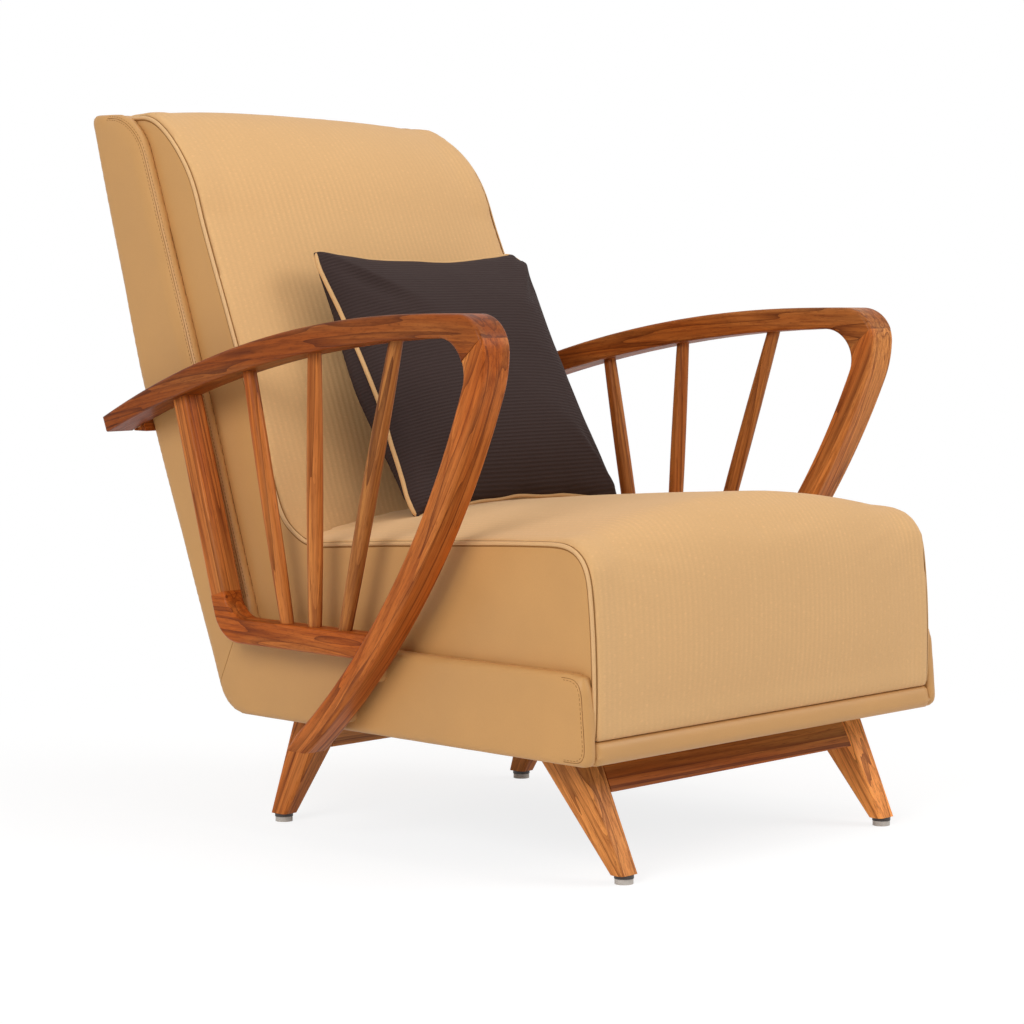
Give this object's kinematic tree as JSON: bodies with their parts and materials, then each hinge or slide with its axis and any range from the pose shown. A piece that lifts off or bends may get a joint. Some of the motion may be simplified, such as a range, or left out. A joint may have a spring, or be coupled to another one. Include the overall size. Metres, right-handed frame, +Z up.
{
  "type": "lounge chair",
  "caption": "Upholstered lounge armchair with a reclined tub seat, open bowed teak arm frames with turned spindles, splayed teak legs and a loose scatter cushion.",
  "frame": {"origin": "on the floor, under the centre of the whole chair's box", "axes": "+Z up, the sitter faces -Y, +X to the right of someone who looks at the chair from the front"},
  "size_m": [0.7386, 0.8619, 0.853],
  "materials": {
    "tan_weave": "tan ribbed weave, matt",
    "tan_cover": "tan smooth cover, soft satin",
    "brown_weave": "dark brown fine weave with tan piping, matt",
    "teak": "oiled teak with dark grain, satin",
    "frame_wood": "plain sawn hardwood, unfinished",
    "webbing": "woven elastic strap",
    "dust_cloth": "black lining cloth",
    "steel": "zinc plated",
    "glide_dark": "dark moulded cup",
    "glide_pale": "pale sliding pad"
  },
  "bodies": {
    "chair": {"arm_bolts": "steel", "arm_dowels": "teak", "arm_left": "teak", "arm_right": "teak", "arm_spacers": "steel", "back_pad": "tan_weave", "back_side_left": "tan_cover", "back_side_right": "tan_cover", "back_stile_left": "frame_wood", "back_stile_right": "frame_wood", "back_top_rail": "frame_wood", "back_webbing": "webbing", "brace_left": "teak", "brace_right": "teak", "cross_rail": "teak", "cross_rail_screws": "steel", "dust_cover": "dust_cloth", "front_base_rail": "teak", "front_bearer": "frame_wood", "front_leg_left": "teak", "front_leg_right": "teak", "front_lip": "tan_cover", "glide_cups": "glide_dark", "glide_pads": "glide_pale", "leg_nuts": "steel", "leg_studs": "steel", "lower_rail_left": "teak", "lower_rail_right": "teak", "lumbar_rail": "frame_wood", "rear_base_rail": "teak", "rear_bearer": "frame_wood", "rear_leg_left": "teak", "rear_leg_right": "teak", "rear_post_left": "teak", "rear_post_right": "teak", "seat_corner_blocks": "frame_wood", "seat_front_rail": "frame_wood", "seat_pad": "tan_weave", "seat_rear_rail": "frame_wood", "seat_side_left": "tan_cover", "seat_side_rail_left": "frame_wood", "seat_side_rail_right": "frame_wood", "seat_side_right": "tan_cover", "seat_webbing": "webbing", "spindle_left_1": "teak", "spindle_left_2": "teak", "spindle_left_3": "teak", "spindle_right_1": "teak", "spindle_right_2": "teak", "spindle_right_3": "teak", "tub_back": "tan_cover"},
    "cushion": {"scatter_cushion": "brown_weave"}
  },
  "joints": [
    {"name": "cushion_lift", "type": "slide", "parent": "chair", "child": "cushion", "axis": [0, 0, 1], "range_m": [0, 0.4]}
  ]
}
